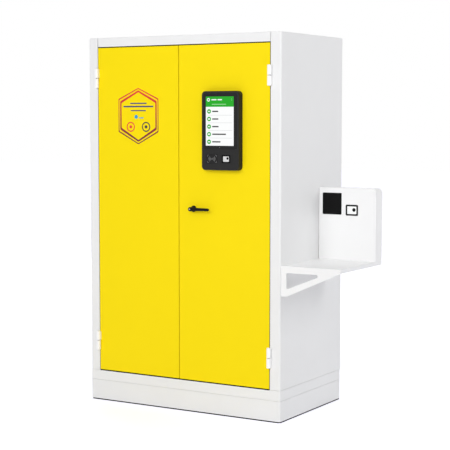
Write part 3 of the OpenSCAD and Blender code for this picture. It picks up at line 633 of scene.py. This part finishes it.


# Dark seals and black strips in the gaps round the doors, which paint the shade deep in those gaps

STRIP_R, SHADE_SEAL_END, SHADE_SEAL_IN, SHADE_SEAL_REACH = 0.4, 1.0, 0.4, 20.0
# Widths of the dark seals, which paint the shade in the gaps beside the hinges as well
LEFT_SHADE_SEAL, RIGHT_SHADE_SEAL = 0.8, 2.0
SHADE_PLAY, SHADE_OUT, SHADE_BACK = 0.4, 0.15, 2.8
# Painted shade: how far the black gap strips reach past the gaps into the base frame and the beam
BASE_SHADE_OVERLAP, BEAM_SHADE_OVERLAP = 2.0, 1.0


def strip(x, z, w, h):
    return [rounded_rect(x, z, w, h, STRIP_R, steps=2)]


def edge_shade_seals():
    """Dark smoke seals on the hinge edges of both doors, which also paint the shade deep in the gaps beside
    the posts.
    """
    for side, node, wide in ((-1, "left_door_skin", LEFT_SHADE_SEAL), (1, "right_door_skin", RIGHT_SHADE_SEAL)):
        door, body = Extent(node), BODY_OF[node]
        edge = door.left if side < 0 else door.right
        outline = strip(edge + side * wide / 2, door.z, wide, door.h - 2 * SHADE_SEAL_END)
        flat_piece(body + "_edge.shade_seal", outline, door.front + SHADE_SEAL_IN, door.front + SHADE_SEAL_REACH, "black_rubber_and_shade",
                   body)


def gap_shades():
    """Black strips in the gaps above and below the doors, which paint the shade deep in those gaps."""
    base, left, right = Extent("base_frame"), Extent("left_door_skin"), Extent("right_door_skin")
    lintel = min(z for z in Extent("top_beam").levels if z > left.top)
    below = (base.top - BASE_SHADE_OVERLAP, left.low - SHADE_PLAY)
    above = (left.top + SHADE_PLAY, lintel + BEAM_SHADE_OVERLAP)
    for name, (low, high) in (("low", below), ("top", above)):
        outline = strip(base.x, (low + high) / 2, right.right - left.left, high - low)
        front, back = base.front - SHADE_OUT, base.front + SHADE_BACK
        flat_piece("door_gap.shade_" + name, outline, front, back, "black_rubber_and_shade", "root")


# Wall terminal on the right door

DOOR, BLACK, DARK, SCREEN = "right_door", "device_black", "dark_glass", "screen"
CASE_R, CORNER_STEPS, CASE_SOFT, CASE_STEPS = 20.0, 10, 2.6, 5
PORT_R, RIM, PLAY, FINE_EDGE, LAYER = 4.0, 0.6, 0.2, 0.2, 0.08


def terminal_case():
    """The case with a soft front edge and three ports, each with a chamfered rim."""
    case = Extent("terminal_case")
    bm = bmesh.new()
    loops = [loop_at(bm, rounded_rect(case.x, case.z, case.w, case.h, CASE_R, CORNER_STEPS), case.rear)]
    for i in range(CASE_STEPS + 1):
        a = math.radians(90 * i / CASE_STEPS)
        inset = CASE_SOFT * (1 - math.cos(a))
        outline = rounded_rect(case.x, case.z, case.w - 2 * inset, case.h - 2 * inset, CASE_R - inset,
                               CORNER_STEPS)
        loops.append(loop_at(bm, outline, case.front + CASE_SOFT * (1 - math.sin(a))))
    bm.faces.new(loops[0])
    for near, far in zip(loops, loops[1:]):
        band(bm, near, far)
    rims = []
    for node in ("terminal_glass", "terminal_reader_window", "terminal_scan_window"):
        hole = Extent(node)
        rim = loop_at(bm, hole.outline(PORT_R + RIM, -RIM), case.front)
        wall = loop_at(bm, hole.outline(PORT_R), case.front + RIM)
        floor = loop_at(bm, hole.outline(PORT_R), hole.rear)
        band(bm, rim, wall)
        band(bm, wall, floor)
        bm.faces.new(floor)
        rims.append(rim)
    fill_between(bm, [loops[-1]] + rims)
    smooth(link("terminal_case.shell", close_up(bm), "case", DOOR, ("terminal_case",)), corner=40)


# The page on the screen

# Places are right of its left edge and down from its top.
PAGE_W, PAGE_H, PAGE_SHIFT, PAGE_UP, PAGE_IN, PAGE_R = 167.5, 253.0, -2.6, 1.0, 0.3, 1.0
HEADER_H, HEADER_R = 53.0, 0.5
TITLE_DOWN, TITLE_THICK, TITLE_BARS = 16.5, 6.0, ((34, 65), (71, 98))
KNOB_X, KNOB_R, KNOB_HOLE_R = 16.0, 9.0, 4.6
SUBTITLE_BAR, SUBTITLE_DOWN, SUBTITLE_THICK = (36, 122), 40.0, 4.0
MENU_X, MENU_DOWN, MENU_PITCH, MENU_R = 155.5, 11.5, 4.5, 1.3
ROW_DOWN, ROW_PITCH = 76.4, 39.2
DISC_X, DISC_R = 19.5, 11.8
SIGN_W, SIGN_H, SIGN_MORE, SIGN_R = 12.5, 5.6, 2.4, 1.8
ENTRY_X, ENTRY_THICK, ENTRY_LENGTHS = 38.0, 6.8, (37, 38, 39, 84, 51)
RULE_BAR, RULE_THICK = (9, 158), 2.4
LENS_X, LENS_UP, LENS_R, LENS_PROUD = 83.4, 7.0, 1.7, 0.1


def terminal_screen():
    """Cover glass with a printed border, and the page behind it in thin layers."""
    glass = Extent("terminal_glass")
    middle, top = glass.x + PAGE_SHIFT, glass.z + PAGE_H / 2 + PAGE_UP
    left = middle - PAGE_W / 2
    page = rounded_rect(middle, top - PAGE_H / 2, PAGE_W, PAGE_H, PAGE_R)
    bm = bmesh.new()
    ring(bm, glass.outline(PORT_R, PLAY), page, glass.front, glass.rear)
    bevelled(bm, FINE_EDGE, steps=1)
    smooth(link("terminal_glass.border", bm, "glass", DOOR, ("terminal_glass",)))
    layers = [glass.front + PAGE_IN - LAYER * i for i in range(3)]

    def lay(name, outlines, layer, look):
        flat_piece("terminal_screen." + name, outlines, layers[layer], glass.rear, look, DOOR)

    def row_bar(ends, down, thick):
        return bar(left + ends[0], left + ends[1], top - down, thick)

    lay("page", [page], 0, "screen")
    lay("header", [rounded_rect(middle, top - HEADER_H / 2, PAGE_W, HEADER_H, HEADER_R, steps=2)], 1, "green")
    lay("title", [row_bar(ends, TITLE_DOWN, TITLE_THICK) for ends in TITLE_BARS], 2, "screen")
    lay("subtitle", [row_bar(SUBTITLE_BAR, SUBTITLE_DOWN, SUBTITLE_THICK)], 2, "pale")
    menu = [circle(left + MENU_X, top - MENU_DOWN - i * MENU_PITCH, MENU_R, steps=12) for i in range(3)]
    lay("menu", menu, 2, "pale")
    bm = bmesh.new()
    knob = (left + KNOB_X, top - TITLE_DOWN)
    ring(bm, circle(*knob, KNOB_R), circle(*knob, KNOB_HOLE_R), layers[2], layers[1])
    link("terminal_screen.knob", bm, "screen", DOOR)
    rows = [ROW_DOWN + i * ROW_PITCH for i in range(len(ENTRY_LENGTHS))]
    lay("discs", [circle(left + DISC_X, top - down, DISC_R) for down in rows], 1, "green")
    signs = [rounded_rect(left + DISC_X, top - down, SIGN_W, SIGN_H + SIGN_MORE * (i % 2), SIGN_R, steps=3)
             for i, down in enumerate(rows)]
    lay("disc_signs", signs, 2, "screen")
    entries = [row_bar((ENTRY_X, ENTRY_X + n), down, ENTRY_THICK) for n, down in zip(ENTRY_LENGTHS, rows)]
    lay("entries", entries, 1, "mark")
    lay("rules", [row_bar(RULE_BAR, down + ROW_PITCH / 2, RULE_THICK) for down in rows[:-1]], 1, "line")
    lens = [circle(left + LENS_X, glass.low + LENS_UP, LENS_R, steps=16)]
    flat_piece("terminal_camera.dot", lens, glass.front - LENS_PROUD, glass.front, "label", DOOR)


# Reader window with its printed mark of four corners and six waves

COVER_IN, COVER_EDGE = 0.5, 0.3
MARK_X, MARK_Z, MARK_ARM, MARK_WIDE, MARK_R = 27.0, 19.0, 8.0, 1.5, 2.6
WAVES, WAVE_HALF, WAVE_WIDE = (7, 13, 19), 42, 2.0


def reader_port():
    port = Extent("terminal_reader_window")
    bm = bmesh.new()
    plate(bm, port.outline(PORT_R - PLAY, PLAY), port.front + COVER_IN, port.rear)
    bevelled(bm, COVER_EDGE)
    smooth(link("terminal_reader.cover", bm, "glass", DOOR, ("terminal_reader_window",)))
    shapes = [circle(port.x, port.z, MARK_R, steps=20)]
    for side in (-1, 1):
        for up in (-1, 1):
            x, z = port.x + side * MARK_X, port.z + up * MARK_Z
            shapes.append(stroke([(x - side * MARK_ARM, z), (x, z), (x, z - up * MARK_ARM)], MARK_WIDE))
        middle = 0 if side > 0 else 180
        for r in WAVES:
            wave = arc(port.x, port.z, r, middle - WAVE_HALF, middle + WAVE_HALF)
            shapes.append(stroke(wave, WAVE_WIDE))
    face = port.front + COVER_IN
    flat_piece("terminal_reader.mark", shapes, face - LAYER, face, "label", DOOR)


# Scanner window: a raised rim, a funnel and, at its bottom, a light with a lens

RIM_OUT, RIM_OUT_R, RIM_IN, RIM_IN_R = 0.5, 4.4, 1.2, 3.0
RIM_LIP, RIM_RISE = 1.4, 0.6
FUNNEL_SHIFT, FUNNEL_W, FUNNEL_H, FUNNEL_R, FUNNEL_SLOPE = -3.5, 52.0, 40.0, 5.0, 1.0
LIGHT_W, LIGHT_H, LIGHT_R = 35.0, 27.5, 3.0
SCAN_LENS_X, SCAN_LENS_Z, SCAN_LENS_R = 9.0, 3.5, 6.6
SCAN_DEEP, SCAN_STEP = 0.6, 0.2


def scan_port():
    port = Extent("terminal_scan_window")
    window = (port.x + FUNNEL_SHIFT, port.z)
    opening = rounded_rect(*window, FUNNEL_W, FUNNEL_H, FUNNEL_R)
    bm = bmesh.new()
    ring(bm, port.outline(PORT_R - PLAY, PLAY), opening, port.front - RIM_RISE, port.rear, FUNNEL_SLOPE)
    smooth(link("terminal_scanner.funnel", bm, "case", DOOR, ("terminal_scan_window",)))
    bm = bmesh.new()
    ring(bm, port.outline(RIM_OUT_R, -RIM_OUT), port.outline(RIM_IN_R, RIM_IN), port.front - RIM_LIP,
         port.front - RIM_RISE)
    bevelled(bm, FINE_EDGE, steps=1)
    link("terminal_scanner.rim", bm, "case", DOOR)
    deep = [port.front + SCAN_DEEP - SCAN_STEP * i for i in range(3)]
    flat_piece("terminal_scanner.back", [opening], deep[0], port.rear, "black_rubber_and_shade", DOOR)
    light = [rounded_rect(*window, LIGHT_W, LIGHT_H, LIGHT_R)]
    flat_piece("terminal_scanner.light", light, deep[1], deep[0], "window", DOOR)
    lens = [circle(window[0] + SCAN_LENS_X, window[1] + SCAN_LENS_Z, SCAN_LENS_R, steps=24)]
    flat_piece("terminal_scanner.lens", lens, deep[2], deep[1], "black_rubber_and_shade", DOOR)


# Lever handle and lock

# Profiles are (radius, height over the door), and sections are (distance from the axis, width, depth).
DOME = ((5.5, 0), (17.0, 0), (17.0, 2.2), (16.4, 4.2), (14.8, 6.4), (12.4, 8.2), (10.4, 8.9), (5.5, 9.0))
HUB = ((6.2, 9.8), (8.6, 10.2), (9.2, 11.4), (9.2, 18), (9.5, 22), (10.3, 26), (11.2, 29.5), (11.5, 33),
       (11.5, 37.2), (11.1, 39.4), (10.2, 41.1), (9.0, 41.9), (8.25, 41.9), (8.15, 40.6), (8.15, 28))
GRIP = ((4, 16.0, 9.6), (10, 18.0, 10.4), (18, 17.6, 10.4), (34, 17.0, 10.0), (60, 16.2, 9.6),
        (90, 15.3, 9.2), (105, 14.8, 9.0), (110.5, 13.2, 8.4), (113.6, 9.6, 6.4), (114.8, 4.8, 3.4))
GRIP_HEIGHT, GRIP_STEPS, GRIP_SQUARE = 35.0, 24, 0.72
SPINDLE_PLAY, SPINDLE_EDGE = 0.2, 0.4
CORE_R, CORE_LONG, CORE_PLAY, CORE_SUNK = 4.0, 6.0, 0.1, 0.2
COLLAR_FACE, COLLAR_EDGE, COLLAR_LIP, COLLAR_SOFT = 0.3, 1.2, 0.6, 1.0
KEYHOLE_W, KEYHOLE_H, KEYHOLE_R = 1.0, 5.0, 0.3


def rounded_power(value):
    """Pulls a circle towards a rounded square."""
    return math.copysign(abs(value) ** GRIP_SQUARE, value)


def handle():
    rosette = Extent("handle_rosette")
    x, z, face = rosette.x, rosette.z, rosette.rear
    turned_piece("handle_rosette.dome", DOME, x, z, face, "handle", DOOR,
                 ("handle_rosette",), corner=50)
    bm = lathe(bmesh.new(), HUB, x, z, face)
    turns = [math.tau * i / GRIP_STEPS for i in range(GRIP_STEPS)]
    loft(bm, [[(x + along, face - GRIP_HEIGHT + deep / 2 * rounded_power(math.cos(a)),
                z + wide / 2 * rounded_power(math.sin(a))) for a in turns] for along, wide, deep in GRIP])
    smooth(link("handle_lever.grip", bm, "handle", "handle", ("handle_lever",)), corner=50)


def spindle():
    rod, rosette = Extent("handle_spindle"), Extent("handle_rosette")
    r, long = rod.w / 2 - SPINDLE_PLAY, rod.rear - rod.front
    profile = ((0, long), (r - SPINDLE_EDGE, long), (r, long - SPINDLE_EDGE), (r, SPINDLE_EDGE),
               (r - SPINDLE_EDGE, 0), (0, 0))
    turned_piece("handle_spindle.rod", profile, rosette.x, rosette.z, rod.rear, "steel",
                 BODY_OF["handle_spindle"], ("handle_spindle",))


def lock():
    """Lock cylinder with a black collar, a bright core and a keyhole. Heights are over its nose."""
    cylinder, rosette = Extent("lock_cylinder"), Extent("handle_rosette")
    x, z, nose, r = rosette.x, rosette.z, cylinder.front, cylinder.w / 2
    collar = ((CORE_R, -COLLAR_LIP), (CORE_R + COLLAR_FACE, 0), (r - COLLAR_EDGE, 0), (r, -COLLAR_SOFT),
              (r, nose - cylinder.rear))
    turned_piece("lock_cylinder.collar", collar, x, z, nose, "handle", "lock",
                 ("lock_cylinder",))
    core_r = CORE_R - CORE_PLAY
    core = ((0, -CORE_SUNK), (core_r - COLLAR_FACE, -CORE_SUNK), (core_r, -COLLAR_LIP), (core_r, -CORE_LONG))
    turned_piece("lock_cylinder.core", core, x, z, nose, "steel", "lock")
    keyhole = [rounded_rect(x, z, KEYHOLE_W, KEYHOLE_H, KEYHOLE_R, steps=2)]
    front = nose + CORE_SUNK
    flat_piece("lock_cylinder.keyhole", keyhole, front - LAYER, front, "black", "lock")


# Badge on the left door: a plain six-sided plaque with bars and rings

# Places are from its middle line and down from its top.
BADGE_X, BADGE_TOP, BADGE_LOW, BADGE_HALF = -273.0, 1727.0, 1424.0, 130.0
SHOULDER_TOP, SHOULDER_LOW, POINT_SHARE, BADGE_R = 58.0, 66.0, 1.2, 10.0
BADGE_BANDS = ((0, 5), (11, 19.5))
BADGE_BARS = ((54, 83, 7), (98, 100, 8), (49, 122, 6))
SPOT_X, SPOT_DOWN, SPOT_R = -14.0, 155.0, 11.0
TAIL_BAR, TAIL_DOWN, TAIL_THICK = (4, 34), 161.0, 6.0
TARGET_X, TARGET_DOWN, TARGET_R, TARGET_HOLE_R, TARGET_DOT_R = 50.0, 209.0, 27.0, 20.5, 9.0
INK = 0.15


def hexagon(inset, steps=8):
    """A tall six-sided outline with rounded corners, drawn in by a distance."""
    half, top, low = BADGE_HALF - inset, BADGE_TOP - inset * POINT_SHARE, BADGE_LOW + inset * POINT_SHARE
    corners = [Vector(p) for p in ((half, low + SHOULDER_LOW), (half, top - SHOULDER_TOP), (0, top),
                                   (-half, top - SHOULDER_TOP), (-half, low + SHOULDER_LOW), (0, low))]
    points = []
    for i, corner in enumerate(corners):
        a, b = corners[i - 1] - corner, corners[(i + 1) % 6] - corner
        reach = BADGE_R / math.tan(a.angle(b) / 2)
        start, end = corner + a.normalized() * reach, corner + b.normalized() * reach
        for k in range(steps + 1):
            t = k / steps
            spot = start * (1 - t) ** 2 + corner * 2 * t * (1 - t) + end * t * t
            points.append((BADGE_X + spot.x, spot.y))
    return points


def badge():
    back = Extent("left_door_skin").front
    front = back - INK
    body, slot = "left_door", "yellow_paint"
    bm = bmesh.new()
    for outer, inner in BADGE_BANDS:
        ring(bm, hexagon(outer), hexagon(inner), front, back)
    link("badge.outline", bm, "red", body)
    bars = [bar(BADGE_X - half, BADGE_X + half, BADGE_TOP - down, thick) for half, down, thick in BADGE_BARS]
    flat_piece("badge.bars", bars, front, back, "blue", body)
    spot = circle(BADGE_X + SPOT_X, BADGE_TOP - SPOT_DOWN, SPOT_R)
    tail = bar(BADGE_X + TAIL_BAR[0], BADGE_X + TAIL_BAR[1], BADGE_TOP - TAIL_DOWN, TAIL_THICK)
    flat_piece("badge.disc", [spot, tail], front, back, "teal", body)
    for name, side, look in (("ring_left", -1, "signal"), ("ring_right", 1, "dark")):
        x, z = BADGE_X + side * TARGET_X, BADGE_TOP - TARGET_DOWN
        bm = bmesh.new()
        ring(bm, circle(x, z, TARGET_R), circle(x, z, TARGET_HOLE_R), front, back)
        plate(bm, circle(x, z, TARGET_DOT_R), front, back)
        link("badge." + name, bm, look, body)


# Reader and scanner in the device housing

ROOT, SUNK, DEVICE_EDGE = "root", 4.0, 0.5
READER_R, READER_RISE, READER_BACK_SHARE, READER_BACK_R = 7.0, 1.2, 0.8, 2.0
FRAME_R, FRAME_BACK_SHARE, FRAME_BACK_R = 6.0, 0.895, 3.0
PANE_LIP, PANE_R, PANE_RISE = 1.5, 2.5, 0.2
EYE_X, EYE_Z, EYE = 12.0, 2.0, ((0, 1.0), (5.0, 0.9), (8.6, 0.5), (9.8, 0.2))
CORNER_X, CORNER_Z, CORNER_ARM, CORNER_WIDE = 21.0, 12.0, 7.0, 1.4


def housing_reader():
    reader, face = Extent("housing_reader"), Extent("device_housing").front
    bm = bmesh.new()
    plate(bm, reader.outline(READER_R), face - READER_RISE, face + SUNK)
    back = rounded_rect(reader.x, reader.z, reader.w * READER_BACK_SHARE, reader.h * READER_BACK_SHARE,
                        READER_BACK_R)
    plate(bm, back, face + SUNK, reader.rear)
    bevelled(bm, DEVICE_EDGE)
    smooth(link("housing_reader.cover", bm, "black", ROOT, ("housing_reader",)))


def housing_scanner():
    """A frame, the lit pane behind it, a lens and two printed corner marks."""
    surround, window = Extent("housing_scan_frame"), Extent("housing_scan_window")
    face = Extent("device_housing").front
    x, z = surround.x, surround.z
    clear = rounded_rect(x, z, window.w - 2 * PANE_LIP, window.h - 2 * PANE_LIP, PANE_R)
    bm = bmesh.new()
    ring(bm, surround.outline(FRAME_R), clear, surround.front, face)
    bevelled(bm, DEVICE_EDGE)
    back = rounded_rect(x, z, surround.w * FRAME_BACK_SHARE, surround.h * FRAME_BACK_SHARE, FRAME_BACK_R)
    ring(bm, back, clear, face, face + SUNK)
    smooth(link("housing_scanner.frame", bm, "black", ROOT, ("housing_scan_frame",)))
    pane = face - PANE_RISE
    flat_piece("housing_scanner.pane", [clear], pane, face + SUNK, "screen", ROOT,
               ("housing_scan_window",))
    turned_piece("housing_scanner.lens", EYE, x + EYE_X, z + EYE_Z, face, "black", ROOT, corner=60)
    marks = []
    for up in (-1, 1):
        left, level = x - CORNER_X, z + up * CORNER_Z
        marks.append(stroke([(left + CORNER_ARM, level), (left, level), (left, level - up * CORNER_ARM)],
                            CORNER_WIDE))
    flat_piece("housing_scanner.marks", marks, pane - LAYER, pane, "line", ROOT)


# The scene

plain_parts()
body_panels()
hinges()
edge_shade_seals()
gap_shades()
terminal_case()
terminal_screen()
reader_port()
scan_port()
handle()
spindle()
lock()
badge()
housing_reader()
housing_scanner()

bpy.context.scene.view_settings.view_transform = "Standard"
make_camera()
for name, values in LAMPS.items():
    make_lamp(name, *values)
make_world()
make_floor()
